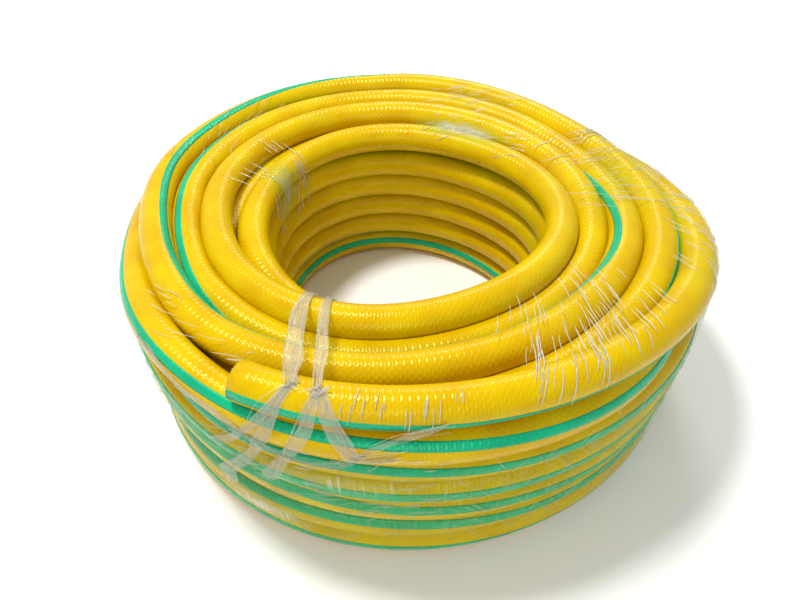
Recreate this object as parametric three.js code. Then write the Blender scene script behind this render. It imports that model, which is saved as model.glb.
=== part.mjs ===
// A 25 m coil of braided PVC water hose, lying flat, held together by clear stretch film.
// Millimetres, +Z up. The origin is the middle of the coil's eye, on the surface that the coil lies on.
// The front of the coil is -Y. Angles round the coil are in degrees, 0 at the front, growing towards +X.
import * as THREE from "three";

// The hose
const HOSE_OD = 20;
const HOSE_BORE = 15;
const INNER_TUBE_WALL = 0.7;
const BRAID_WALL = 0.3;
const COVER_WALL = 0.9;
const STRIPE_WIDTH = 4;
const STRIPE_DEPTH = 0.3;
const STRIPE_TILT = -35; // degrees from level, on the outer side of the hose

// The winding
const LAYERS = 5; // one round the other, from the eye to the outside
const LAYER_PITCH = 18.5; // less than the hose, because each turn nests between two turns of the next layer
const OUTER_RADIUS = 180;
const LAYER_TOPS = [126, 126, 126, 113, 106]; // the outermost layer carries the last turn
const LAYER_FOOT_ROUNDING = 4;
const CUT_END_ANGLE = -30;
const SETTLED_ANGLE = 75; // where the last turn has come down onto the outermost layer
const LAST_TURN_END_ANGLE = 322.5; // where it goes down under the cut end
const CUT_END_LIFT = 8; // the end lies in the groove over the two outer layers
const CUT_END_SHIFT = 12;
const TOUCH_GAP = 0.3; // between faces that touch

// The stretch film
const FILM = 0.4; // several layers that lie on each other
const WRAP_FROM = 75;
const WRAP_TO = 285;
const WRAP_EDGE_HEIGHT = 8;
const HOOP_TOP = 84;
const HOOP_BOTTOM = 14;
const TIE_PLACES = { film_tie_left: -60, film_tie_right: -48 }; // X of each tie
const TIE_WIDTH = 6;
const TIE_THICKNESS = 2.4;
const TIE_FOOT_HEIGHT = 88;

// Worked out from the sizes above
const HOSE_RADIUS = HOSE_OD / 2;
const LAST_TURN_RADIUS = OUTER_RADIUS - HOSE_RADIUS - TOUCH_GAP;
const LAST_TURN_HEIGHT = LAYER_TOPS[LAYERS - 1] + TOUCH_GAP + HOSE_RADIUS;
const EYE_RADIUS = OUTER_RADIUS - HOSE_OD - (LAYERS - 1) * LAYER_PITCH;
const COIL_TOP = LAYER_TOPS[0];
const LAYER_CREST_ROUNDING = (LAYER_PITCH - TOUCH_GAP) / 2 - 0.1;

const ROUND_STEPS = 48; // round the coil
const STEP_ANGLE = 360 / ROUND_STEPS;
const HOSE_SIDES = 12;

const yellowCover = new THREE.MeshStandardMaterial({ color: 0xe8b800, roughness: 0.38, metalness: 0 });
const greenInlay = new THREE.MeshStandardMaterial({ color: 0x0c9c68, roughness: 0.4, metalness: 0 });
const whiteYarn = new THREE.MeshStandardMaterial({ color: 0xf2efe4, roughness: 0.8, metalness: 0 });
const paleTube = new THREE.MeshStandardMaterial({ color: 0xd9cfa0, roughness: 0.45, metalness: 0 });
const clearFilm = new THREE.MeshStandardMaterial({
  color: 0xe6e8ea,
  roughness: 0.12,
  metalness: 0,
  transparent: true,
  opacity: 0.25,
});

const coil = new THREE.Group();

function addPiece(name, geometry, material) {
  const piece = new THREE.Mesh(geometry, material);
  piece.name = name;
  coil.add(piece);
}

// A round corner of a section. In a section, x is the distance from the coil's axis and y is the height.
function corner(x, y, radius, fromDegrees, steps) {
  const points = [];
  for (let i = 0; i <= steps; i++) {
    const a = THREE.MathUtils.degToRad(fromDegrees + (90 * i) / steps);
    points.push(new THREE.Vector2(x + radius * Math.cos(a), y + radius * Math.sin(a)));
  }
  return points;
}

// A closed ring about the coil's axis.
function ringOf(section) {
  return new THREE.LatheGeometry([...section, section[0].clone()], ROUND_STEPS).rotateX(Math.PI / 2);
}

// A line round the coil. Its place at each angle is a distance from the axis and a height.
class RoundTheCoil extends THREE.Curve {
  constructor(fromAngle, toAngle, place) {
    super();
    Object.assign(this, { fromAngle, toAngle, place });
  }

  getPoint(t, target = new THREE.Vector3()) {
    const angle = this.fromAngle + t * (this.toAngle - this.fromAngle);
    const { radius, height } = this.place(angle);
    const a = THREE.MathUtils.degToRad(angle);
    return target.set(radius * Math.sin(a), -radius * Math.cos(a), height);
  }
}

// A section carried along such a line. The sweep's own axes are down and inwards, so the section is
// mirrored, and its points are put in the opposite order to keep the outside of the solid outside.
function sweep(points, holes, path) {
  const turned = (list) => list.map((p) => new THREE.Vector2(-p.y, -p.x)).reverse();
  const shape = new THREE.Shape(turned(points));
  shape.holes = holes.map((hole) => new THREE.Path(turned(hole)));
  const steps = Math.round((path.toAngle - path.fromAngle) / STEP_ANGLE);
  return new THREE.ExtrudeGeometry(shape, { steps, extrudePath: path });
}

// Points of a circle about the hose's own middle, from one angle to another. 0 faces away from the eye.
function arc(radius, fromDegrees, toDegrees, steps) {
  const points = [];
  for (let i = 0; i <= steps; i++) {
    const a = THREE.MathUtils.degToRad(fromDegrees + ((toDegrees - fromDegrees) * i) / steps);
    points.push(new THREE.Vector2(radius * Math.cos(a), radius * Math.sin(a)));
  }
  return points;
}

function circle(radius) {
  return arc(radius, 0, 360, HOSE_SIDES).slice(0, -1);
}

// One layer of the winding: the turns of a helix that lie on each other, as one closed ring.
function windingLayer(index) {
  const isOutermost = index === LAYERS - 1;
  const inner = EYE_RADIUS + index * LAYER_PITCH;
  const outer = isOutermost ? OUTER_RADIUS : inner + LAYER_PITCH - TOUCH_GAP;
  const top = LAYER_TOPS[index];
  const foot = LAYER_FOOT_ROUNDING;
  const crest = LAYER_CREST_ROUNDING;
  return ringOf([
    ...corner(outer - foot, foot, foot, -90, 2),
    ...corner(outer - crest, top - crest, crest, 0, 3),
    ...corner(inner + crest, top - crest, crest, 90, 3),
    ...corner(inner + foot, foot, foot, 180, 2),
  ]);
}

// The last turn's place: raised over the groove at the cut end, settled on the outermost layer after it.
function lastTurnPlace(angle) {
  const lift = 1 - THREE.MathUtils.smoothstep(angle, 30, SETTLED_ANGLE);
  const outwards = THREE.MathUtils.smoothstep(-angle, 0, -CUT_END_ANGLE);
  return {
    radius: LAST_TURN_RADIUS - CUT_END_SHIFT * lift + 0.6 * CUT_END_SHIFT * outwards,
    height: LAST_TURN_HEIGHT + CUT_END_LIFT * lift,
  };
}

const cutEnd = new RoundTheCoil(CUT_END_ANGLE, SETTLED_ANGLE - 0.1, lastTurnPlace);
const restOfLastTurn = new RoundTheCoil(SETTLED_ANGLE, LAST_TURN_END_ANGLE, lastTurnPlace);

// The cover, with the shallow channel that the stripe fills.
function cover() {
  const half = THREE.MathUtils.radToDeg((STRIPE_WIDTH / 2 + TOUCH_GAP) / HOSE_RADIUS);
  const floor = HOSE_RADIUS - STRIPE_DEPTH - TOUCH_GAP;
  const outside = arc(HOSE_RADIUS, STRIPE_TILT + half, STRIPE_TILT + 360 - half, HOSE_SIDES - 1);
  const channel = arc(floor, STRIPE_TILT - half, STRIPE_TILT + half, 2);
  return sweep([...outside, ...channel], [circle(HOSE_RADIUS - COVER_WALL)], cutEnd);
}

function stripe() {
  const half = THREE.MathUtils.radToDeg(STRIPE_WIDTH / 2 / HOSE_RADIUS);
  const outside = arc(HOSE_RADIUS, STRIPE_TILT - half, STRIPE_TILT + half, 2);
  const inside = arc(HOSE_RADIUS - STRIPE_DEPTH, STRIPE_TILT + half, STRIPE_TILT - half, 2);
  return sweep([...outside, ...inside], [], cutEnd);
}

function pipe(outerRadius, wall) {
  return sweep(circle(outerRadius), [circle(outerRadius - wall)], cutEnd);
}

// The film that is wound through the eye, over the top and round the outside of the turns.
function filmWrap() {
  const line = (away) => {
    const crest = LAYER_CREST_ROUNDING;
    return [
      new THREE.Vector2(OUTER_RADIUS + away, WRAP_EDGE_HEIGHT),
      ...corner(OUTER_RADIUS - HOSE_RADIUS, COIL_TOP + TOUCH_GAP - HOSE_RADIUS, HOSE_RADIUS + away, 0, 4),
      ...corner(EYE_RADIUS + crest, COIL_TOP + TOUCH_GAP - crest, crest + away, 90, 3),
      new THREE.Vector2(EYE_RADIUS - away, WRAP_EDGE_HEIGHT),
    ];
  };
  const section = [...line(TOUCH_GAP + FILM), ...line(TOUCH_GAP).reverse()];
  const middle = (OUTER_RADIUS + EYE_RADIUS) / 2;
  const aboutMiddle = section.map((p) => new THREE.Vector2(p.x - middle, p.y));
  const path = new RoundTheCoil(WRAP_FROM, WRAP_TO, () => ({ radius: middle, height: 0 }));
  return sweep(aboutMiddle, [], path);
}

// The film that is wound once more round the outer wall.
const HOOP_RADIUS = OUTER_RADIUS + 2 * TOUCH_GAP + FILM;

function filmHoop() {
  return ringOf([
    new THREE.Vector2(HOOP_RADIUS, HOOP_BOTTOM),
    new THREE.Vector2(HOOP_RADIUS + FILM, HOOP_BOTTOM),
    new THREE.Vector2(HOOP_RADIUS + FILM, HOOP_TOP),
    new THREE.Vector2(HOOP_RADIUS, HOOP_TOP),
  ]);
}

// A strip of film drawn together into a flat cord. It runs from the eye to the front, over the cut end.
function filmTie(place) {
  const nearSide = Math.abs(place) - TIE_WIDTH / 2;
  const farSide = Math.abs(place) + TIE_WIDTH / 2;
  const gap = 2 * TOUCH_GAP;
  const eyeWall = -Math.sqrt(EYE_RADIUS ** 2 - farSide ** 2) + gap;
  const outerWall = -Math.sqrt((HOOP_RADIUS + FILM) ** 2 - nearSide ** 2) - gap;
  const crest = LAST_TURN_HEIGHT + CUT_END_LIFT + HOSE_RADIUS + gap;
  const line = (away) => [
    new THREE.Vector2(eyeWall + away, TIE_FOOT_HEIGHT),
    ...corner(eyeWall - 8, COIL_TOP + gap - 8, 8 + away, 0, 3),
    new THREE.Vector2(outerWall + 40, crest + away),
    ...corner(outerWall + 14, crest - 14, 14 + away, 90, 3),
    new THREE.Vector2(outerWall - away, TIE_FOOT_HEIGHT),
  ];
  const outline = new THREE.Shape([...line(TIE_THICKNESS), ...line(0).reverse()]);
  return new THREE.ExtrudeGeometry(outline, { depth: TIE_WIDTH, bevelEnabled: false })
    .translate(0, 0, -TIE_WIDTH / 2)
    .applyMatrix4(new THREE.Matrix4().set(0, 0, 1, place, 1, 0, 0, 0, 0, 1, 0, 0, 0, 0, 0, 1));
}

for (let index = 0; index < LAYERS; index++) {
  addPiece(`winding_layer_${index + 1}`, windingLayer(index), yellowCover);
}
addPiece("last_turn", sweep(circle(HOSE_RADIUS), [], restOfLastTurn), yellowCover);
addPiece("cut_end_cover", cover(), yellowCover);
addPiece("cut_end_stripe", stripe(), greenInlay);
const braidRadius = HOSE_RADIUS - COVER_WALL - TOUCH_GAP;
addPiece("cut_end_braid", pipe(braidRadius, BRAID_WALL), whiteYarn);
const innerTubeRadius = HOSE_BORE / 2 + INNER_TUBE_WALL;
addPiece("cut_end_inner_tube", pipe(innerTubeRadius, INNER_TUBE_WALL), paleTube);
addPiece("film_wrap", filmWrap(), clearFilm);
addPiece("film_hoop", filmHoop(), clearFilm);
for (const [name, place] of Object.entries(TIE_PLACES)) {
  addPiece(name, filmTie(place), clearFilm);
}

export default coil;
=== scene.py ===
"""A 25 m coil of yellow braided water hose, held together by clear stretch film.

Lengths are in metres. Angles round the coil are in degrees, 0 at the front (-Y), growing towards +X.
Angles on the hose's own section are 0 on the side away from the eye and 90 on top.
"""
import functools
import math

import bpy
import numpy as np
from mathutils import Euler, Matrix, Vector


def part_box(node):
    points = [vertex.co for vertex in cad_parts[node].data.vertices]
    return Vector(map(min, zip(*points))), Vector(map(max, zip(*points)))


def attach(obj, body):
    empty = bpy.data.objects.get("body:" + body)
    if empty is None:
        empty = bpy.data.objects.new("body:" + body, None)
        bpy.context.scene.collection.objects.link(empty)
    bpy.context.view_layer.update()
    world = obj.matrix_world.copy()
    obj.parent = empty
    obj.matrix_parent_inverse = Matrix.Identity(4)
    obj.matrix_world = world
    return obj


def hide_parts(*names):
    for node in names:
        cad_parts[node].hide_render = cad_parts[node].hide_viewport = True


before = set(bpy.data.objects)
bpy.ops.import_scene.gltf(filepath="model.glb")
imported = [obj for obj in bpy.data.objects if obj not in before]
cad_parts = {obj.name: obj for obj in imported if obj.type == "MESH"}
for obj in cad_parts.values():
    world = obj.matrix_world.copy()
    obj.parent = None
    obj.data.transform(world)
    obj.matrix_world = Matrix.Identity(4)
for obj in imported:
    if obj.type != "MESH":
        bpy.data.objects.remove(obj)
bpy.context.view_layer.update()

bl_info = {
    "name": "Hose Coil",
    "version": (1, 0, 0),
    "blender": (4, 5, 0),
    "location": "3D View > Sidebar > Hose Coil",
    "description": "Winds a length of striped water hose into a coil and wraps it in stretch film",
    "category": "Add Mesh",
}

# Sizes of the fixed model that the coil has to fit
OUTER_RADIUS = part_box("winding_layer_5")[1][0]
COIL_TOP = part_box("winding_layer_1")[1][2]
HOSE_DIAMETER = round(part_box("last_turn")[1][2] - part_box("last_turn")[0][2], 4)
HOSE_RADIUS = HOSE_DIAMETER / 2
LAYER_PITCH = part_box("winding_layer_2")[1][0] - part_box("winding_layer_1")[1][0]
LAYER_NODES = [f"winding_layer_{number}" for number in range(1, 6)]
OUTER_LINE = OUTER_RADIUS - HOSE_RADIUS  # the middle of the hose in the outermost layer
INNER_LINE = OUTER_LINE - 4 * LAYER_PITCH
CUT_END_ANGLE = -31.0


# ---------------------------------------------------------------- settings


class HoseSettings(bpy.types.PropertyGroup):
    length: bpy.props.FloatProperty(
        name="Length", description="How much hose is wound", default=25.0, min=1.0, unit="LENGTH")
    bore: bpy.props.FloatProperty(
        name="Bore", description="Inside diameter", default=0.015, min=0.001, unit="LENGTH")
    stripe_width: bpy.props.FloatProperty(
        name="Stripe width", description="Width of the green stripe", default=0.0051, unit="LENGTH")
    cover_colour: bpy.props.FloatVectorProperty(
        name="Cover", description="Colour of the cover", subtype="COLOR", size=4,
        default=(0.68, 0.465, 0.0, 1.0))
    shade_colour: bpy.props.FloatVectorProperty(
        name="Cover, darker", description="Colour of the cover in its duller patches",
        subtype="COLOR", size=4, default=(0.61, 0.365, 0.0, 1.0))
    stripe_colour: bpy.props.FloatVectorProperty(
        name="Stripe", description="Colour of the stripe", subtype="COLOR", size=4,
        default=(0.0, 0.45, 0.22, 1.0))
    tube_colour: bpy.props.FloatVectorProperty(
        name="Inner tube", description="Colour of the inner tube", subtype="COLOR", size=4,
        default=(0.72, 0.60, 0.26, 1.0))
    yarn_colour: bpy.props.FloatVectorProperty(
        name="Yarn", description="Colour of the braid's yarn", subtype="COLOR", size=4,
        default=(0.86, 0.84, 0.76, 1.0))


class FilmSettings(bpy.types.PropertyGroup):
    colour: bpy.props.FloatVectorProperty(
        name="Film", description="Colour of the film where light catches it", subtype="COLOR", size=4,
        default=(0.86, 0.87, 0.84, 1.0))
    haze: bpy.props.FloatProperty(
        name="Haze", description="How much the film hides of what is under it", default=0.008,
        min=0.0, max=1.0, subtype="FACTOR")
    # The tint is painted shade: the olive cast of the wall in shade, laid into the film's colour where it lies
    # smooth.
    tint: bpy.props.FloatVectorProperty(
        name="Tint", description="Colour of the film where it lies smooth", subtype="COLOR", size=4,
        default=(0.27, 0.58, 0.0, 1.0))
    # Partly the film's own haze and partly painted shade: on the wall it lays the tint's olive cast over the
    # turns.
    hoop_haze: bpy.props.FloatProperty(
        name="Haze on the wall", description="How much the film round the wall hides", default=0.15,
        min=0.0, max=1.0, subtype="FACTOR")
    first_angle: bpy.props.FloatProperty(
        name="First edge", description="Where the wrap round the ring starts",
        default=math.radians(22), unit="ROTATION")
    last_angle: bpy.props.FloatProperty(
        name="Last edge", description="Where the wrap round the ring ends",
        default=math.radians(318), unit="ROTATION")


class StageSettings(bpy.types.PropertyGroup):
    floor_colour: bpy.props.FloatVectorProperty(
        name="Floor", description="Colour of the floor", subtype="COLOR", size=4,
        default=(0.97, 0.97, 0.97, 1.0))
    view_height: bpy.props.FloatProperty(
        name="View angle", description="How far above level the camera stands",
        default=math.radians(41.81), unit="ROTATION")
    view_distance: bpy.props.FloatProperty(
        name="Distance", description="From the camera to the coil's middle", default=0.4464, unit="LENGTH")
    view_roll: bpy.props.FloatProperty(
        name="Roll", description="Tilt of the camera about its own axis",
        default=math.radians(-3.16), unit="ROTATION")
    lens: bpy.props.FloatProperty(
        name="Lens", description="Focal length in millimetres", default=28.21)


# ---------------------------------------------------------------- shader maths


class Value:
    """A node's output that can be used in Python expressions."""

    def __init__(self, finish, socket):
        self.finish = finish
        self.socket = socket

    def maths(self, operation, *operands):
        return self.finish.add("ShaderNodeMath", {"operation": operation}, dict(enumerate(operands)))

    def __add__(self, other):
        return self.maths("ADD", self, other)

    def __sub__(self, other):
        return self.maths("SUBTRACT", self, other)

    def __rsub__(self, other):
        return self.maths("SUBTRACT", other, self)

    def __mul__(self, other):
        return self.maths("MULTIPLY", self, other)

    __radd__ = __add__
    __rmul__ = __mul__

    def cosine(self):
        return self.maths("COSINE", self)

    def at_most(self, limit):
        return self.maths("MINIMUM", self, limit)


class Finish:
    """A material, with the nodes that colour it."""

    def __init__(self, name):
        self.material = bpy.data.materials.new(name)
        self.material.use_nodes = True
        self.tree = self.material.node_tree
        self.shader = self.tree.nodes["Principled BSDF"]

    def add(self, kind, settings=None, sockets=None, output=0):
        node = self.tree.nodes.new(kind)
        for key, setting in (settings or {}).items():
            if key == "stops":
                self.fill_ramp(node.color_ramp, setting)
            else:
                setattr(node, key, setting)
        for key, value in (sockets or {}).items():
            self.put(node.inputs[key], value)
        return Value(self, node.outputs[output])

    def fill_ramp(self, ramp, stops):
        for element, (place, grey) in zip(ramp.elements, stops):
            element.position = place
            element.color = (grey, grey, grey, 1.0)

    def put(self, socket, value):
        if isinstance(value, Value):
            self.tree.links.new(value.socket, socket)
        else:
            socket.default_value = value

    def surface(self, **sockets):
        for name, value in sockets.items():
            self.put(self.shader.inputs[name.replace("_", " ")], value)

    def stored(self, name):
        """The three numbers that a mesh stores on its vertices under a name."""
        vector = self.add("ShaderNodeAttribute", {"attribute_name": name}, output="Vector")
        parts = self.add("ShaderNodeSeparateXYZ", None, {0: vector}).socket.node
        return [Value(self, part) for part in parts.outputs]

    def colours(self, share, first, second):
        return self.add("ShaderNodeMix", {"data_type": "RGBA"}, {0: share, 6: first, 7: second}, output=2)

    def noise(self, scale, detail=2.0, vector=None):
        sockets = {"Scale": scale, "Detail": detail}
        if vector is not None:
            sockets["Vector"] = vector
        return self.add("ShaderNodeTexNoise", None, sockets)

    def ramp(self, value, low, high):
        return self.add("ShaderNodeValToRGB", {"stops": [(low, 0.0), (high, 1.0)]}, {0: value})

    def bump(self, height, strength, distance, normal=None):
        sockets = {"Height": height, "Strength": strength, "Distance": distance}
        if normal is not None:
            sockets["Normal"] = normal
        return self.add("ShaderNodeBump", None, sockets)


# ---------------------------------------------------------------- finishes


def place_on_hose(finish):
    """How far along the hose a point is, and its angle round the hose's section, in radians."""
    along, cosine, sine = finish.stored("hose_place")
    return along, sine.maths("ARCTAN2", sine, cosine)


BRAID_PITCH = 0.0036
BRAID_YARNS = 16  # that run each way round the hose


def braid_print(finish):
    """The yarns that press through the cover: rows of small cells round the hose."""
    along, angle = place_on_hose(finish)
    rows = (along * (2 * math.pi / BRAID_PITCH)).cosine()
    columns = (angle * float(BRAID_YARNS)).cosine()
    ribs = rows * rows
    return rows * columns * 0.35 + ribs * 0.5


def soft_pvc(name, light, dark, roughness):
    finish = Finish(name)
    patches = finish.ramp(finish.noise(14.0, 3.0), 0.35, 0.68)
    finish.surface(Base_Color=finish.colours(patches, light, dark))
    gloss = finish.noise(60.0, 3.0)
    finish.surface(Roughness=gloss * 0.16 + (roughness - 0.08))
    grain = finish.noise(900.0, 2.0)
    fine = finish.bump(grain, 0.12, 0.0002)
    print_depth = braid_print(finish)
    finish.surface(Normal=finish.bump(print_depth, 0.6, 0.0003, fine))
    finish.surface(Subsurface_Weight=0.06, Subsurface_Radius=(0.004, 0.0025, 0.0005), Subsurface_Scale=1.0)
    finish.surface(Specular_IOR_Level=0.27, Specular_Tint=(1.0, 0.93, 0.4, 1.0))
    return finish.material


def yarn_finish(colour):
    finish = Finish("braid_yarn")
    strands = finish.noise(2500.0, 2.0)
    finish.surface(Base_Color=finish.colours(strands, colour, (0.62, 0.59, 0.50, 1.0)))
    finish.surface(Normal=finish.bump(strands, 0.5, 0.0002))
    finish.surface(Roughness=0.75)
    return finish.material


def inner_tube_finish(colour):
    finish = Finish("inner_tube")
    clouds = finish.noise(80.0, 3.0)
    finish.surface(Base_Color=finish.colours(clouds, colour, (0.60, 0.47, 0.16, 1.0)))
    finish.surface(Roughness=clouds * 0.2 + 0.35)
    finish.surface(Normal=finish.bump(finish.noise(700.0), 0.1, 0.0002))
    return finish.material


# ---------------------------------------------------------------- the winding

STEPS_PER_TURN = 72
ROUNDS = 900
PUSH_SHARE = 0.275  # of an overlap, which each of two turns moves in a round
HELD_TURNS = [0, 12, 13, 14, 15]  # the turns on top, which keep close to their guides
LOOSE_HOLD = 0.002
CLOSE_HOLD = 0.03


def level_turn(radius, height, next_radius, next_height, sink=0.0):
    """A turn of a layer that steps to the next place near its end. Points are angle, radius, height, in mm."""
    return [(-31, radius, height), (60, radius, height - sink), (235, radius, height - 1.5 * sink),
            (329, next_radius, next_height)]


def guide_turns():
    """Where each turn of the hose starts out, before it settles, as angles, radii and heights in mm."""
    cut_end = [(-31, 166, 127), (-12, 162, 127), (0, 160, 127), (30, 162, 125), (60, 168, 119),
               (80, 170, 116), (120, 170, 111), (150, 170, 98), (210, 170, 96), (240, 170, 103),
               (300, 170, 107), (329, 169.5, 106)]
    turns = [cut_end]
    wall = [(169.5, 106), (162, 88), (169.5, 69), (163, 50), (152, 40)]
    for (radius, height), (next_radius, next_height) in zip(wall, wall[1:]):
        turns.append(level_turn(radius, height, next_radius, next_height, 2))
    turns.append([(-31, 152, 40), (0, 150, 38), (240, 151, 38), (300, 158, 34), (329, 168, 30)])
    turns.append([(-31, 168, 30), (0, 169.5, 29), (240, 169.5, 29), (329, 166, 12)])
    turns.append([(-31, 166, 12), (0, 164, 10), (240, 165, 10), (300, 158, 10), (329, 148, 11)])
    second = [(146, 11), (144, 25), (146, 50), (148, 74), (148, 96)]
    for (radius, height), (next_radius, next_height) in zip(second, second[1:]):
        turns.append(level_turn(radius, height, next_radius, next_height, -3))
    turns.append([(-31, 148, 100), (0, 146, 111), (35, 149, 108), (60, 152, 110), (100, 153, 112),
                  (130, 164, 114), (150, 171, 116), (200, 172, 117), (225, 171, 118), (255, 161, 119),
                  (290, 153, 119), (329, 144, 118)])
    turns.append([(-31, 144, 118), (-15, 132, 117), (0, 126.5, 116), (30, 125, 116), (60, 132, 115),
                  (90, 134, 113), (140, 142, 112), (200, 149, 114), (250, 147, 110), (280, 139, 107),
                  (300, 135, 106), (329, 126, 104)])
    turns.append([(-31, 126, 104), (0, 112, 101), (40, 112, 104), (70, 116, 111), (90, 117, 113),
                  (150, 125, 116), (250, 127, 118), (290, 124, 118), (329, 118, 118)])
    turns.append([(-31, 114, 118), (-15, 105, 118), (0, 98.5, 116), (30, 97, 115), (60, 97, 113),
                  (180, 96, 111), (240, 97, 108), (270, 99, 104), (300, 98, 98), (329, 97, 92)])
    eye = [(96, 92), (96, 72), (96, 53), (96, 34), (96, 14), (112, 11)]
    for (radius, height), (next_radius, next_height) in zip(eye[:-1], eye[1:]):
        turns.append(level_turn(radius, height, next_radius, next_height, 2))
    inner = [(114, 11), (114, 26), (114, 46), (114, 66), (114, 84), (128, 84)]
    for (radius, height), (next_radius, next_height) in zip(inner[:-1], inner[1:]):
        turns.append(level_turn(radius, height, next_radius, next_height, -2))
    middle = [(130, 84), (130, 62), (130, 40), (130, 18), (131, 10)]
    for (radius, height), (next_radius, next_height) in zip(middle[:-1], middle[1:]):
        turns.append(level_turn(radius, height, next_radius, next_height, 2))
    return turns


def smooth_line(line, passes, amount=0.25):
    line = line.copy()
    for _ in range(passes):
        line[1:-1] += amount * (line[:-2] - 2 * line[1:-1] + line[2:])
    return line


def push_apart(turns, first, second, spacing):
    """Moves every pair of turns that overlap at an angle away from each other, over their sections."""
    step = turns[first] - turns[second]
    distance = np.linalg.norm(step, axis=2) + 1e-9
    push = np.maximum(spacing - distance, 0) * PUSH_SHARE
    shift = step / distance[:, :, None] * push[:, :, None]
    moved = turns.copy()
    np.add.at(moved, first, shift)
    np.add.at(moved, second, -shift)
    return moved


@functools.lru_cache(maxsize=1)
def settled_turns():
    """Radius and height of each turn at each step, after pressing the turns together between the walls."""
    angles = CUT_END_ANGLE + 360 * np.arange(STEPS_PER_TURN) / STEPS_PER_TURN
    guides = [np.array(turn, float) for turn in guide_turns()]
    start = np.array([[np.interp(angles, g[:, 0], g[:, k]) for k in (1, 2)] for g in guides]) / 1000
    start = start.transpose(0, 2, 1)
    shape = start.shape
    start = smooth_line(start.reshape(-1, 2), 30).reshape(shape)
    first, second = np.triu_indices(shape[0], 1)
    hold = np.full((shape[0], 1, 1), LOOSE_HOLD)
    hold[HELD_TURNS] = CLOSE_HOLD
    last_hold = np.where(hold > LOOSE_HOLD, 0.7, 0.0)
    lid = COIL_TOP - HOSE_RADIUS
    end_lid = lid + np.interp(angles, [-31, 30, 60, 90, 320], [0.0113, 0.010, 0.004, 0.0015, 0.001])
    firm = np.zeros((shape[0], STEPS_PER_TURN, 1), bool)
    firm[0, angles < 40] = True
    firm[12, (angles > 135) & (angles < 300)] = True
    turns = start.copy()
    for number in range(ROUNDS):
        turns = push_apart(turns, first, second, HOSE_DIAMETER - 0.0001)
        turns += hold * (start - turns) * (1.0 if number < 0.6 * ROUNDS else last_hold)
        turns = smooth_line(turns.reshape(-1, 2), 1, 0.2).reshape(shape)
        slack = max(0.0, 1 - 2 * number / ROUNDS) * 0.02
        turns[1:, :, 1] = np.minimum(turns[1:, :, 1], lid + slack)
        turns[0, :, 1] = np.minimum(turns[0, :, 1], end_lid + slack)
        turns[:, :, 1] = np.maximum(turns[:, :, 1], HOSE_RADIUS)
        turns[:, :, 0] = np.clip(turns[:, :, 0], INNER_LINE, OUTER_LINE)
        turns = np.where(firm, start, turns)
    return turns


def on_coil(angle, radius, height):
    """The point at an angle in radians round the coil."""
    return np.stack([radius * np.sin(angle), -radius * np.cos(angle), height], axis=-1)


# How many times round the coil it swells, and how much as a sine and as a cosine
SWELLS = [(2, 0.0346, -0.011), (3, -0.0172, -0.0026)]
# Angle, spread in angle, and how much the outer turns stand out there
BULGES = [(108, 30, -0.030), (-108, 16, 0.028), (165, 25, 0.02)]
LEAN = (0.0036, -0.0083)


def out_of_round(points):
    """The pile is not quite round, and its upper turns lean towards the front."""
    rise = points[:, 2] / COIL_TOP - 0.5
    angle = np.arctan2(points[:, 0], -points[:, 1])
    outward = (np.hypot(points[:, 0], points[:, 1]) - INNER_LINE) / (OUTER_LINE - INNER_LINE)
    swell = np.ones_like(angle)
    for times, sine, cosine in SWELLS:
        swell += sine * np.sin(times * angle) + cosine * np.cos(times * angle)
    for place, spread, amount in BULGES:
        swell += amount * outward * np.exp(-((np.degrees(angle) - place) / spread) ** 2)
    shifted = points.copy()
    shifted[:, 0] = points[:, 0] * swell + LEAN[0] * rise
    shifted[:, 1] = points[:, 1] * swell + LEAN[1] * rise
    return shifted


class HoseLine:
    """The hose's middle line at even steps, with the side and the top of its section."""

    def __init__(self, length, step):
        turns = settled_turns()
        line = smooth_line(turns.reshape(-1, 2), 4)
        turned = np.radians(CUT_END_ANGLE + 360 * np.arange(len(line)) / STEPS_PER_TURN)
        fine = np.linspace(turned[0], turned[-1], 12 * len(line))
        points = on_coil(fine, np.interp(fine, turned, line[:, 0]), np.interp(fine, turned, line[:, 1]))
        points = out_of_round(points)
        run = np.concatenate([[0], np.cumsum(np.linalg.norm(np.diff(points, axis=0), axis=1))])
        total = min(length, run[-1])
        self.along = np.linspace(0, total, int(total / step) + 1)
        self.points = np.stack([np.interp(self.along, run, points[:, k]) for k in range(3)], axis=1)
        self.points = smooth_line(self.points, 2)
        self.turned = np.interp(self.along, run, fine)
        ahead = np.gradient(self.points, axis=0)
        ahead /= np.linalg.norm(ahead, axis=1)[:, None]
        out = on_coil(self.turned, np.ones_like(self.turned), np.zeros_like(self.turned))
        side = out - ahead * np.sum(out * ahead, axis=1)[:, None]
        self.side = side / np.linalg.norm(side, axis=1)[:, None]
        self.top = np.cross(self.side, ahead)
        self.ahead = ahead


RING_STEP = 0.008
STRIPE_GUIDE = [  # turns from the cut end, and the stripe's angle on the section there, in degrees
    (0, 10), (0.15, -25), (0.5, -20), (0.75, 25), (1.05, 55), (1.2, 20), (1.95, 10), (2.05, 25),
    (2.15, 10), (3.1, 10), (3.2, -10), (4.05, 35), (4.2, -5), (5, 0), (6.05, 45), (6.15, 10), (7, 5),
    (7.2, -25), (8.5, 0), (12, 0), (12.5, 40), (12.75, 115), (13, 160), (13.2, 165), (13.25, 115),
    (13.4, 165), (13.55, 320), (13.75, 435), (13.9, 420), (14.05, 340), (14.3, 320), (15, 265),
    (19.4, 265), (20.1, 165), (20.8, 160), (21.2, 240), (31, 240)]


@functools.lru_cache(maxsize=1)
def hose_line():
    return HoseLine(bpy.context.scene.coil_hose.length, RING_STEP)


def stripe_angles(line):
    turns = (line.turned - line.turned[0]) / (2 * math.pi)
    guide = np.array(STRIPE_GUIDE)
    angles = np.interp(turns, guide[:, 0], guide[:, 1])
    angles = angles + 2 * np.sin(turns * 37.3) + 1.5 * np.sin(turns * 57.9 + 1.0)
    return np.radians(smooth_line(angles, 12))


# ---------------------------------------------------------------- meshes


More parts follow.
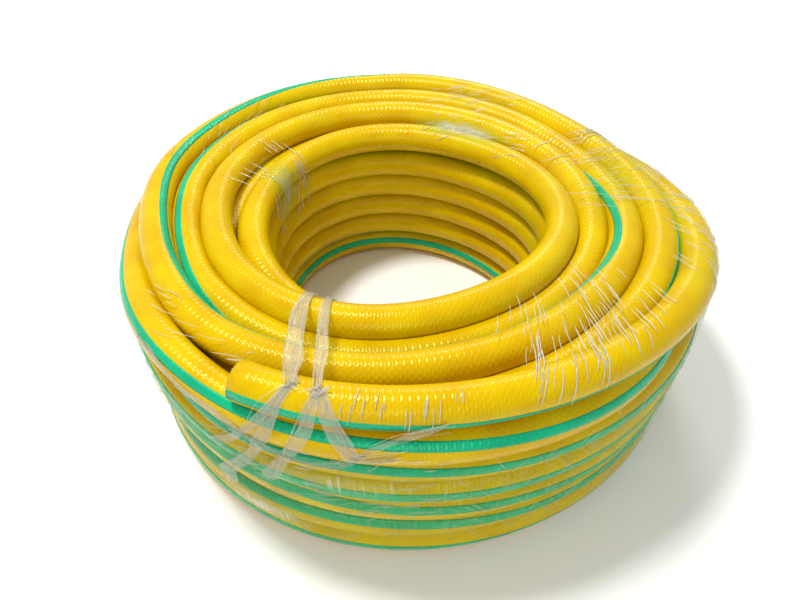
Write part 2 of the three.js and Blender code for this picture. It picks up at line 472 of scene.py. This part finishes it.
def new_piece(name, vertices, faces, material, slot):
    mesh = bpy.data.meshes.new(name)
    mesh.from_pydata(np.asarray(vertices, float).tolist(), [], [list(map(int, face)) for face in faces])
    mesh.validate()
    mesh.update()
    mesh.shade_smooth()
    mesh.materials.append(material)
    piece = bpy.data.objects.new(name, mesh)
    bpy.context.scene.collection.objects.link(piece)
    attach(piece, "root")
    return piece


def ring_faces(rings, sides, closed_round=True):
    """Quads between rings of points that follow each other."""
    ring = np.arange(rings - 1)[:, None] * sides
    side = np.arange(sides if closed_round else sides - 1)[None, :]
    after = (side + 1) % sides
    quads = np.stack([ring + side, ring + after, ring + sides + after, ring + sides + side], axis=-1)
    return quads.reshape(-1, 4).tolist()


def tube_mesh(rings):
    """Vertices and faces of a closed tube from its rings of points: an array of ring, side, coordinate."""
    count, sides = rings.shape[:2]
    faces = ring_faces(count, sides)
    faces.append(list(range(sides))[::-1])
    faces.append([(count - 1) * sides + k for k in range(sides)])
    return rings.reshape(-1, 3), faces


def section_rings(line, indices, angles, radii):
    """Rings round the hose's line: angles are in radians from the side that faces away from the eye."""
    side = line.side[indices][:, None, :]
    top = line.top[indices][:, None, :]
    middle = line.points[indices][:, None, :]
    radii = np.broadcast_to(radii, angles.shape)[:, :, None]
    return middle + radii * (np.cos(angles)[:, :, None] * side + np.sin(angles)[:, :, None] * top)


def pipe_along(middle, radius, sides=6):
    """A closed thin tube along a line of points; radius may be a list."""
    middle = np.asarray(middle, float)
    ahead = np.gradient(middle, axis=0)
    ahead /= np.linalg.norm(ahead, axis=1)[:, None] + 1e-12
    lean = np.array([0.13, 0.21, 0.97]) if abs(ahead[:, 2]).mean() < 0.8 else np.array([0.97, 0.2, 0.1])
    side = np.cross(ahead, lean)
    side /= np.linalg.norm(side, axis=1)[:, None] + 1e-12
    top = np.cross(side, ahead)
    turn = 2 * math.pi * np.arange(sides) / sides
    radius = np.broadcast_to(radius, len(middle))[:, None, None]
    rings = middle[:, None, :] + radius * (
        np.cos(turn)[None, :, None] * side[:, None, :] + np.sin(turn)[None, :, None] * top[:, None, :])
    return tube_mesh(rings)


def joined(meshes):
    """One list of vertices and faces from many."""
    vertices = []
    faces = []
    count = 0
    for points, polygons in meshes:
        vertices.extend(np.asarray(points).tolist())
        faces.extend([[corner + count for corner in polygon] for polygon in polygons])
        count += len(points)
    return vertices, faces


def mark_place(piece, along, angle):
    """Stores on each vertex how far along the hose it is, and the cosine and sine of its angle."""
    values = np.stack([along, np.cos(angle), np.sin(angle)], axis=-1).astype(np.float32)
    layer = piece.data.attributes.new("hose_place", "FLOAT_VECTOR", "POINT")
    layer.data.foreach_set("vector", values.reshape(-1))


# ---------------------------------------------------------------- the hose

HOSE_SIDES = 24
BORE_DEPTH = 0.05
EDGE_ROUNDING = 0.0005


def hose_skin(line, bore_radius):
    """The hose's outside, with its cut face and the first stretch of its bore at the upper end."""
    turn = 2 * math.pi * np.arange(HOSE_SIDES) / HOSE_SIDES
    count = len(line.along)
    deep = int(BORE_DEPTH / RING_STEP)
    order = list(range(deep, -1, -1)) + [0, 0] + list(range(count)) + [count - 1]
    radii = [bore_radius] * (deep + 1) + [bore_radius + EDGE_ROUNDING, HOSE_RADIUS - EDGE_ROUNDING]
    radii += [HOSE_RADIUS] * count + [HOSE_RADIUS - EDGE_ROUNDING]
    order = np.array(order)
    angles = np.broadcast_to(turn, (len(order), HOSE_SIDES))
    rings = section_rings(line, order, angles, np.array(radii)[:, None])
    rings[deep + 1: deep + 3] -= 0.5 * EDGE_ROUNDING * line.ahead[0]
    rings[-1] += 0.5 * EDGE_ROUNDING * line.ahead[-1]
    vertices, faces = tube_mesh(rings)
    along = np.repeat(line.along[order], HOSE_SIDES)
    return vertices, faces, along, angles.reshape(-1)


class COIL_OT_wind_hose(bpy.types.Operator):
    """Wind the hose into its coil and lay its stripe"""

    bl_idname = "coil.wind_hose"
    bl_label = "Wind hose"

    def execute(self, context):
        settings = context.scene.coil_hose
        line = hose_line()
        cover = soft_pvc("hose_cover", settings.cover_colour, settings.shade_colour, 0.2)
        vertices, faces, along, angle = hose_skin(line, settings.bore / 2)
        hose = new_piece("hose", vertices, faces, cover, "hose_cover")
        mark_place(hose, along, angle)
        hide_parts(*LAYER_NODES, "last_turn", "cut_end_cover")
        stripe = self.lay_stripe(line, settings)
        with_pieces = [stripe] + cut_end_pieces(line, settings)
        return {"FINISHED"}

    def lay_stripe(self, line, settings):
        """The stripe is a thin band, moulded flush into the cover."""
        half = settings.stripe_width / 2 / HOSE_RADIUS
        across = np.linspace(-half, half, 5)
        middle = stripe_angles(line)[:, None]
        indices = np.arange(len(line.along))
        upper = section_rings(line, indices, middle + across, HOSE_RADIUS + 0.00009)
        under = section_rings(line, indices, middle + across[::-1], HOSE_RADIUS - 0.0004)
        rings = np.concatenate([upper, under], axis=1)
        vertices, faces = tube_mesh(rings)
        green = tuple(settings.stripe_colour)
        darker = tuple(0.8 * part for part in green[:3]) + (1.0,)
        material = soft_pvc("green_stripe", green, darker, 0.22)
        stripe = new_piece("stripe", vertices, faces, material, "green_stripe")
        spread = np.concatenate([middle + across, middle + across[::-1]], axis=1)
        mark_place(stripe, np.repeat(line.along, rings.shape[1]), spread.reshape(-1))
        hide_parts("cut_end_stripe")
        return stripe


def cut_end_pieces(line, settings):
    """What the cut shows inside the cover: the inner tube's edge and the ends of the yarns."""
    bore = settings.bore / 2
    reach = 0.04
    indices = np.arange(int(reach / RING_STEP) + 1)
    turn = 2 * math.pi * np.arange(HOSE_SIDES) / HOSE_SIDES
    angles = np.broadcast_to(turn, (len(indices), HOSE_SIDES))
    outside = section_rings(line, indices, angles, bore + 0.0011)
    inside = section_rings(line, indices, angles, bore - 0.00015)[::-1]
    lip = 0.00035 * line.ahead[0]
    outside[0] -= lip
    inside[-1] -= lip
    rings = np.concatenate([outside, inside], axis=0)
    faces = ring_faces(len(rings), HOSE_SIDES)
    last = (len(rings) - 1) * HOSE_SIDES
    faces += [[last + k, last + (k + 1) % HOSE_SIDES, (k + 1) % HOSE_SIDES, k] for k in range(HOSE_SIDES)]
    tube_material = inner_tube_finish(settings.tube_colour)
    tube = new_piece("inner_tube", rings.reshape(-1, 3), faces, tube_material, "inner_tube")
    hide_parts("cut_end_inner_tube")
    yarns = []
    for number in range(2 * BRAID_YARNS):
        angle = 2 * math.pi * (number + 0.5 * math.sin(3.0 * number)) / (2 * BRAID_YARNS)
        away = math.cos(angle) * line.side[0] + math.sin(angle) * line.top[0]
        foot = line.points[0] + (bore + 0.00135) * away
        tip = foot - (0.0006 + 0.0003 * math.sin(5.0 * number)) * line.ahead[0]
        yarns.append(pipe_along([foot + 0.002 * line.ahead[0], foot, tip], [0.0003, 0.0003, 0.00022]))
    vertices, faces = joined(yarns)
    yarn = new_piece("yarn_ends", vertices, faces, yarn_finish(settings.yarn_colour), "braid_yarn")
    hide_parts("cut_end_braid")
    return [tube, yarn]


# ---------------------------------------------------------------- the film

RING_MIDDLE = (0.133, 0.063)  # radius and height of the middle of the pile's section
FILM_GAP = 0.0004


class TautFilm:
    """Where film pulled tight over the turns lies: a taut outline of the pile's section at each angle."""

    def __init__(self, line):
        self.angles = np.arange(-180, 182, 2.0)
        self.tilts = np.arange(-60, 243, 3.0)
        normals = np.radians(np.arange(-95, 275, 3.0))
        normal = np.stack([np.cos(normals), np.sin(normals)])
        self.reach = np.zeros((len(self.angles), len(self.tilts)))
        for row, angle in enumerate(np.radians(self.angles)):
            turned = angle + 2 * math.pi * np.arange(-1, 32)
            turned = turned[(turned >= line.turned[0]) & (turned <= line.turned[-1])]
            places = np.stack([np.interp(turned, line.turned, line.points[:, k]) for k in range(3)], axis=1)
            across = places[:, 0] * math.sin(angle) - places[:, 1] * math.cos(angle)
            section = np.stack([across, places[:, 2]], axis=1)
            outermost = section[np.argmax(section @ normal, axis=0)]
            corners = outermost + (HOSE_RADIUS + FILM_GAP) * normal.T
            steps = np.linspace(0, 1, 12, endpoint=False)[None, :, None]
            spans = corners[:-1, None, :] * (1 - steps) + corners[1:, None, :] * steps
            outline = spans.reshape(-1, 2)
            polar = np.degrees(np.arctan2(outline[:, 1] - RING_MIDDLE[1], outline[:, 0] - RING_MIDDLE[0]))
            polar = np.where(polar < -95, polar + 360, polar)
            order = np.argsort(polar)
            reach = np.hypot(outline[:, 0] - RING_MIDDLE[0], outline[:, 1] - RING_MIDDLE[1])
            self.reach[row] = np.interp(self.tilts, polar[order], reach[order])

    def at(self, angle, tilt, lift=0.0):
        """Points on the film. Angle is round the coil and tilt round the pile's section, in degrees."""
        angle = (np.asarray(angle, float) + 180) % 360 - 180
        tilt = np.asarray(tilt, float)
        row = np.clip((angle + 180) / 2, 0, len(self.angles) - 1.001)
        column = np.clip((tilt + 60) / 3, 0, len(self.tilts) - 1.001)
        i = row.astype(int)
        j = column.astype(int)
        u = row - i
        v = column - j
        near = self.reach[i, j] * (1 - v) + self.reach[i, j + 1] * v
        far = self.reach[i + 1, j] * (1 - v) + self.reach[i + 1, j + 1] * v
        reach = near * (1 - u) + far * u + lift
        radius = RING_MIDDLE[0] + reach * np.cos(np.radians(tilt))
        height = np.maximum(RING_MIDDLE[1] + reach * np.sin(np.radians(tilt)), 0.0004)
        return on_coil(np.radians(angle), radius, height)


@functools.lru_cache(maxsize=1)
def taut_film():
    return TautFilm(hose_line())


def film_finish(name, colour, tint, lines):
    """Clear film: a thin haze, and fine whitish streaks along its folds that are painted highlights for the
    folds' glints. lines is how many streaks there are per metre.
    """
    finish = Finish(name)
    # The third stored number is the film's haze plus its painted glare patches.
    around, across, haze = finish.stored("film_place")
    stretched = finish.add("ShaderNodeCombineXYZ", None, {0: around * lines, 1: across * (lines * 0.05)})
    streaks = finish.ramp(finish.noise(1.0, 4.0, stretched), 0.52, 0.78)
    slanted = finish.add("ShaderNodeCombineXYZ", None, {
        0: (around + across * 0.45) * (lines * 1.3), 1: across * (lines * 0.04)})
    slants = finish.ramp(finish.noise(1.0, 3.0, slanted), 0.60, 0.80)
    clouds = finish.noise(26.0, 4.0)
    amount = haze * (clouds * 0.9 + streaks * 1.2 + slants * 0.7 + 0.35) + streaks * slants * 0.06
    finish.surface(Alpha=amount.at_most(0.9))
    # Strong streaks, slants and glare turn the colour whitish, a painted highlight; elsewhere it takes the
    # tint, the painted olive shade.
    finish.surface(Base_Color=finish.colours(streaks + slants + haze * 2.2 - 0.5, tint, colour))
    finish.surface(Normal=finish.bump(streaks + slants, 0.7, 0.0006))
    finish.surface(Roughness=0.2, Specular_IOR_Level=0.4)
    return finish.material


def film_patch(name, angles, tilts, lift, haze, glares, material):
    """A piece of film over a range of angles and tilts. Returns it and its width and length."""
    film = taut_film()
    angle, tilt = np.meshgrid(angles, tilts, indexing="ij")
    points = film.at(angle, tilt, lift)
    vertices = points.reshape(-1, 3)
    faces = ring_faces(len(angles), len(tilts), closed_round=False)
    piece = new_piece(name, vertices, faces, material, "stretch_film")
    along = np.linalg.norm(np.diff(points, axis=0), axis=2)
    across = np.linalg.norm(np.diff(points, axis=1), axis=2)
    run = np.concatenate([np.zeros((len(angles), 1)), np.cumsum(across, axis=1)], axis=1)
    amount = np.full(angle.shape, haze)
    for at_angle, at_tilt, wide, high, strength in glares:
        turned = (angle - at_angle + 180) % 360 - 180
        amount += strength * np.exp(-((turned / wide) ** 2) - ((tilt - at_tilt) / high) ** 2)
    edge = np.minimum(np.arange(len(tilts)), np.arange(len(tilts))[::-1]) / 4
    amount *= np.clip(edge, 0.15, 1)[None, :]
    values = np.stack([np.radians(angle) * 0.15, run, amount], axis=-1).astype(np.float32)
    layer = piece.data.attributes.new("film_place", "FLOAT_VECTOR", "POINT")
    layer.data.foreach_set("vector", values.reshape(-1))
    return piece, float(across.sum(axis=1).mean()), float(along.sum(axis=0).mean())


# Where light catches the film: angle, tilt, spread in each, strength
WRAP_GLARES = [
    (86, 84, 13, 24, 0.08), (64, 54, 11, 14, 0.09), (42, 78, 14, 22, 0.05), (-116, 136, 7, 16, 0.42),
    (153, 124, 12, 5, 0.5), (138, 124, 9, 5, 0.36), (150, 90, 10, 12, 0.12), (105, 60, 12, 12, 0.18),
    (96, 84, 10, 9, 0.16), (-150, 100, 8, 10, 0.10), (80, 150, 40, 25, 0.14)]
HOOP_GLARES = [
    (-30, -42, 8, 8, 0.5), (-17, -51, 9, 5, 0.4), (-12, 22, 10, 9, 0.16), (36, -5, 26, 30, 0.05),
    (-45, 20, 10, 16, 0.1), (58, 20, 8, 40, 0.1)]
# Groups of creases: how many, the angles, the tilts, how far each runs in angle and tilt, thickness in mm
CREASES = [
    (60, (18, 52), (60, 100), (5, 15), 0.26), (24, (20, 44), (58, 78), (4.5, 17), 0.4),
    (50, (78, 116), (58, 108), (1, 22), 0.27), (46, (60, 102), (44, 64), (3, 9), 0.3),
    (18, (-14, 8), (58, 66), (0.6, 7), 0.4), (60, (-30, 4), (-12, 46), (4, 0.6), 0.28),
    (26, (138, 168), (70, 106), (6, 7), 0.24), (46, (-132, -102), (106, 165), (1, 15), 0.30),
    (28, (108, 165), (112, 132), (6, 4), 0.28), (44, (-70, -10), (-45, 45), (7, 9), 0.2),
    (110, (5, 64), (-48, 36), (4, -20), 0.17), (14, (-62, -30), (60, 76), (6, 5), 0.22),
    (30, (-150, -110), (60, 104), (5, 5), 0.20), (60, (-20, 40), (-40, 44), (3, 8), 0.16)]


def crease_lines(film):
    """Small folds in the film, in groups that run the same way, drawn whitish as painted highlights."""
    chance = np.random.default_rng(11)
    meshes = []
    for count, angles, tilts, run, thickness in CREASES:
        for _ in range(count):
            angle = chance.uniform(*angles)
            tilt = chance.uniform(*tilts)
            size = chance.uniform(0.4, 1.15)
            steps = np.linspace(-0.5, 0.5, 9)
            bend = chance.uniform(-0.25, 0.25)
            line_angle = angle + run[0] * size * (steps + bend * steps ** 2)
            line_tilt = tilt + run[1] * size * (steps - bend * steps ** 2)
            taper = np.sqrt(np.clip(1 - 4 * steps ** 2, 0.02, 1))
            radius = 0.001 * thickness * chance.uniform(0.6, 1.2) * taper
            meshes.append(pipe_along(film.at(line_angle, line_tilt, 0.0002), radius, 4))
    return meshes


def film_line(path, count, passes):
    """A smooth line through places given as angle and tilt, and how far along the path each point is."""
    stops = np.array(path, float)
    run = np.linspace(0, len(stops) - 1, count)
    columns = [np.interp(run, np.arange(len(stops)), column) for column in stops.T]
    return run, smooth_line(np.stack(columns, axis=1), passes)


def strand(film, path, spread, twist, phase, radius, lift=0.0006):
    """A gathered fold of film that wanders about its path."""
    run, line = film_line(path, 10 * (len(path) - 1) + 1, 8)
    turn = phase + twist * run
    line[:, 0] += spread * np.sin(turn)
    line[:, 1] += 0.6 * spread * np.cos(1.7 * turn)
    rise = lift * (1.6 + np.cos(turn + 0.8))
    return pipe_along(film.at(line[:, 0], line[:, 1], rise), radius, 5)


def curl(film, angle, tilt, size, phase, radius):
    """A loop of gathered film at a knot."""
    turn = np.linspace(0, 4.6, 15) + phase
    angles = angle + size * np.cos(turn)
    tilts = tilt + 1.4 * size * np.sin(turn + 0.4 * phase)
    return pipe_along(film.at(angles, tilts, 0.0012 + 0.0012 * np.sin(1.3 * turn)), radius, 5)


# Paths on the film, as angle and tilt
LEFT_TIE = [(-39, 190), (-37, 165), (-35, 140), (-29, 106), (-23, 80), (-19.5, 67)]
RIGHT_TIE = [(-30, 190), (-28, 165), (-26.5, 140), (-24, 113), (-19, 89), (-15, 67)]
LEFT_FANS = [[(-23, 56), (-29, 40), (-36, 22)], [(-24, 45), (-29, 21), (-35, -12), (-37, -35)]]
RIGHT_FANS = [[(-17, 52), (-22, 30), (-25, 8)], [(-12, 52), (-9, 44), (-3, 46)]]
RIDGE = [
    (-54, 52), (-49, 53), (-40, 50), (-32, 48), (-26, 42), (-19, 38), (-12, 39), (-7, 49), (-2, 54), (4, 57)]


def pleated_band(film, path, spread, flare=0.0, lift=0.0007):
    """Film gathered into a band with pleats along it. spread is its half width in angle and in tilt."""
    run, line = film_line(path, 24 * (len(path) - 1), 12)
    across = np.linspace(-1, 1, 17)
    wide = 1.0 + 0.2 * np.sin(2.3 * run) + 0.12 * np.sin(6.1 * run + 1) + flare * run
    wide *= np.clip(8 * (1.02 - run / run[-1]), 0, 1) ** 0.6
    shift = 0.25 * np.sin(1.9 * run)[:, None]
    angle = line[:, :1] + spread[0] * wide[:, None] * (across[None, :] + shift)
    tilt = line[:, 1:] + spread[1] * wide[:, None] * (across[None, :] + shift)
    broad = np.cos(across * 13 + 0.9 * np.sin(3 * run)[:, None])
    narrow = np.cos(across * 29 + 5 * run[:, None])
    points = film.at(angle, tilt, lift * (1 + 0.7 * (broad + 0.5 * narrow)))
    return points.reshape(-1, 3), ring_faces(len(run), len(across), closed_round=False)


def tie_lines(film, path, fans, width, count, seed):
    """A rope of gathered film over the turns, its knot, and its ends spread on the wall."""
    chance = np.random.default_rng(seed)
    knot = path[-1]
    meshes = [pleated_band(film, path, (width, 0))]
    for number in range(count):
        radius = chance.uniform(0.00012, 0.00026)
        turn = 2 * math.pi * number / count
        meshes.append(strand(film, path, 0.8 * width, chance.uniform(0.4, 1.2), turn, radius))
    for number, fan in enumerate(fans):
        meshes.append(pleated_band(film, [knot, *fan], (0.8, 0.7), 0.5, 0.0004))
        for other in range(5):
            stops = [knot] + [(a + chance.uniform(-1.5, 1.5), t + chance.uniform(-3, 3)) for a, t in fan]
            meshes.append(strand(film, stops, 0.4, 1.3, number + other, 0.00016, 0.0004))
    for number in range(4):
        place = knot[0] + chance.uniform(-1, 1), knot[1] + chance.uniform(-3, 4)
        size = chance.uniform(0.7, 1.4)
        thickness = chance.uniform(0.0003, 0.0005)
        meshes.append(curl(film, *place, size, 1.4 * number, thickness))
    return meshes


def gathered_finish(settings, name, alpha, dull):
    """Film in folds. alpha is how much it hides, and dull is its share of the film's lightness."""
    finish = Finish(name)
    glints = finish.noise(260.0, 3.0)
    bright = tuple(dull * part for part in settings.colour[:3]) + (1.0,)
    finish.surface(Base_Color=finish.colours(glints, bright, (0.48, 0.44, 0.25, 1.0)))
    finish.surface(Alpha=glints * 0.7 + (alpha - 0.35))
    finish.surface(Roughness=0.22, Specular_IOR_Level=0.8)
    return finish.material


class COIL_OT_wrap_film(bpy.types.Operator):
    """Stretch the film round the ring and round the wall"""

    bl_idname = "coil.wrap_film"
    bl_label = "Wrap film"

    def execute(self, context):
        settings = context.scene.coil_film
        film = taut_film()
        material = film_finish("stretch_film", settings.colour, settings.tint, 900.0)
        first = math.degrees(settings.first_angle)
        angles = np.arange(first, math.degrees(settings.last_angle) + 0.5, 2.0)
        wrap, width, length = film_patch(
            "film_wrap_visual", angles, np.arange(-48, 229, 3.0), 0.0, settings.haze, WRAP_GLARES, material)
        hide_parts("film_wrap")
        # The creases are drawn in the film's whitish glint colour: real folds with painted highlights.
        creases = new_piece("film_creases", *joined(crease_lines(film)),
                            gathered_finish(settings, "film_crease", 0.55, 1.0), "stretch_film")
        angles = np.arange(-180, 181, 2.0)
        hoop, width, length = film_patch(
            "film_hoop_visual", angles, np.arange(-54, 43, 3.0), 0.0004, settings.hoop_haze,
            HOOP_GLARES, material)
        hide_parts("film_hoop")
        self.tie(settings, film)
        return {"FINISHED"}

    def tie(self, settings, film):
        """The gathered edge of the film that crosses the wall under the cut end."""
        chance = np.random.default_rng(5)
        meshes = [pleated_band(film, RIDGE, (0.3, 1.5), 0.0, 0.0005)]
        for number in range(5):
            stops = [(a + chance.uniform(-1, 1), t + chance.uniform(-2.6, 2.6)) for a, t in RIDGE]
            radius = chance.uniform(0.0001, 0.0002)
            meshes.append(strand(film, stops, 0.4, 1.1, number, radius, 0.0003))
        material = gathered_finish(settings, "film_fold", 0.26, 0.9)
        return new_piece("film_fold", *joined(meshes), material, "stretch_film")


class COIL_OT_tie_film(bpy.types.Operator):
    """Tie the two ropes of gathered film over the turns beside the cut end"""

    bl_idname = "coil.tie_film"
    bl_label = "Tie film"

    def execute(self, context):
        settings = context.scene.coil_film
        film = taut_film()
        material = gathered_finish(settings, "gathered_film", 0.33, 0.92)
        for name, path, fans, width, count, seed, node in (
                ("film_rope_left", LEFT_TIE, LEFT_FANS, 1.8, 9, 14, "film_tie_left"),
                ("film_rope_right", RIGHT_TIE, RIGHT_FANS, 1.25, 7, 15, "film_tie_right")):
            meshes = tie_lines(film, path, fans, width, count, seed)
            rope = new_piece(name, *joined(meshes), material, "stretch_film")
            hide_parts(node)
        return {"FINISHED"}


# ---------------------------------------------------------------- the stage

VIEW_SHIFT = (0.0159, -0.0443)
VIEW_TARGET = (-0.0103, 0.0058, 0.0597)
LIGHTS = [  # name, place, size, power and colour
    ("key", (-0.36, 0.12, 1.35), 0.26, 15.5, (1.0, 1.0, 0.98)),
    ("back", (0.25, 1.1, 0.9), 0.4, 5.0, (1.0, 1.0, 1.0)),
    ("front", (-0.2, -1.3, 0.7), 0.5, 4.0, (0.94, 1.0, 0.97)),
]
FLOOR_REACH = 6.0
FLOOR_DROP = 0.0005  # keeps the floor clear of the faces that rest on it

class COIL_OT_set_stage(bpy.types.Operator):
    """Lay the floor, hang the lights and place the camera"""

    bl_idname = "coil.set_stage"
    bl_label = "Set stage"

    def execute(self, context):
        settings = context.scene.coil_stage
        context.scene.view_settings.view_transform = "Standard"
        self.lay_floor(settings)
        self.place_camera(context, settings)
        self.hang_lights(context)
        return {"FINISHED"}

    def lay_floor(self, settings):
        finish = Finish("floor")
        finish.surface(Base_Color=settings.floor_colour, Roughness=0.7)
        mesh = bpy.data.meshes.new("floor")
        corners = [(FLOOR_REACH * x, FLOOR_REACH * y, 0) for x, y in ((-1, -1), (1, -1), (1, 1), (-1, 1))]
        mesh.from_pydata(corners, [], [(0, 1, 2, 3)])
        mesh.materials.append(finish.material)
        floor = bpy.data.objects.new("floor", mesh)
        floor.location.z = -FLOOR_DROP
        bpy.context.scene.collection.objects.link(floor)

    def place_camera(self, context, settings):
        data = bpy.data.cameras.new("camera")
        data.lens = settings.lens
        data.sensor_width = 36.0
        data.shift_x = VIEW_SHIFT[0]
        data.shift_y = VIEW_SHIFT[1]
        data.clip_start = 0.01
        camera = bpy.data.objects.new("camera", data)
        middle = Vector(VIEW_TARGET)
        rise = settings.view_height
        away = Vector((0, -math.cos(rise), math.sin(rise)))
        camera.location = middle + settings.view_distance * away
        look = Euler((math.pi / 2 - rise, 0, 0)).to_matrix()
        tilt = Euler((0, 0, settings.view_roll)).to_matrix()
        camera.rotation_euler = (look @ tilt).to_euler()
        context.scene.collection.objects.link(camera)
        context.scene.camera = camera

    def hang_lights(self, context):
        for name, place, size, power, tint in LIGHTS:
            data = bpy.data.lights.new(name, "AREA")
            data.shape = "DISK"
            data.size = size
            data.energy = power
            data.color = tint
            light = bpy.data.objects.new(name, data)
            light.location = place
            aim = Vector((0, 0, 0.06)) - Vector(place)
            light.rotation_euler = aim.to_track_quat("-Z", "Y").to_euler()
            context.scene.collection.objects.link(light)
        world = bpy.data.worlds.new("studio")
        world.use_nodes = True
        backdrop = world.node_tree.nodes["Background"]
        backdrop.inputs["Color"].default_value = (1.0, 1.0, 1.0, 1.0)
        backdrop.inputs["Strength"].default_value = 0.53
        context.scene.world = world


# ---------------------------------------------------------------- the add-on


class COIL_PT_panel(bpy.types.Panel):
    """The coil's settings and the steps that make it"""

    bl_idname = "COIL_PT_panel"
    bl_label = "Hose Coil"
    bl_space_type = "VIEW_3D"
    bl_region_type = "UI"
    bl_category = "Hose Coil"

    def draw(self, context):
        for group in (context.scene.coil_hose, context.scene.coil_film, context.scene.coil_stage):
            for name in group.__annotations__:
                self.layout.prop(group, name)
        for step in STEPS:
            self.layout.operator(step.bl_idname)


STEPS = [COIL_OT_set_stage, COIL_OT_wind_hose, COIL_OT_wrap_film, COIL_OT_tie_film]
CLASSES = [HoseSettings, FilmSettings, StageSettings, *STEPS, COIL_PT_panel]


def register():
    for item in CLASSES:
        bpy.utils.register_class(item)
    bpy.types.Scene.coil_hose = bpy.props.PointerProperty(type=HoseSettings)
    bpy.types.Scene.coil_film = bpy.props.PointerProperty(type=FilmSettings)
    bpy.types.Scene.coil_stage = bpy.props.PointerProperty(type=StageSettings)


def unregister():
    del bpy.types.Scene.coil_stage
    del bpy.types.Scene.coil_film
    del bpy.types.Scene.coil_hose
    for item in reversed(CLASSES):
        bpy.utils.unregister_class(item)


def main():
    register()
    bpy.ops.coil.set_stage()
    bpy.ops.coil.wind_hose()
    bpy.ops.coil.wrap_film()
    bpy.ops.coil.tie_film()


if __name__ == "__main__":
    main()
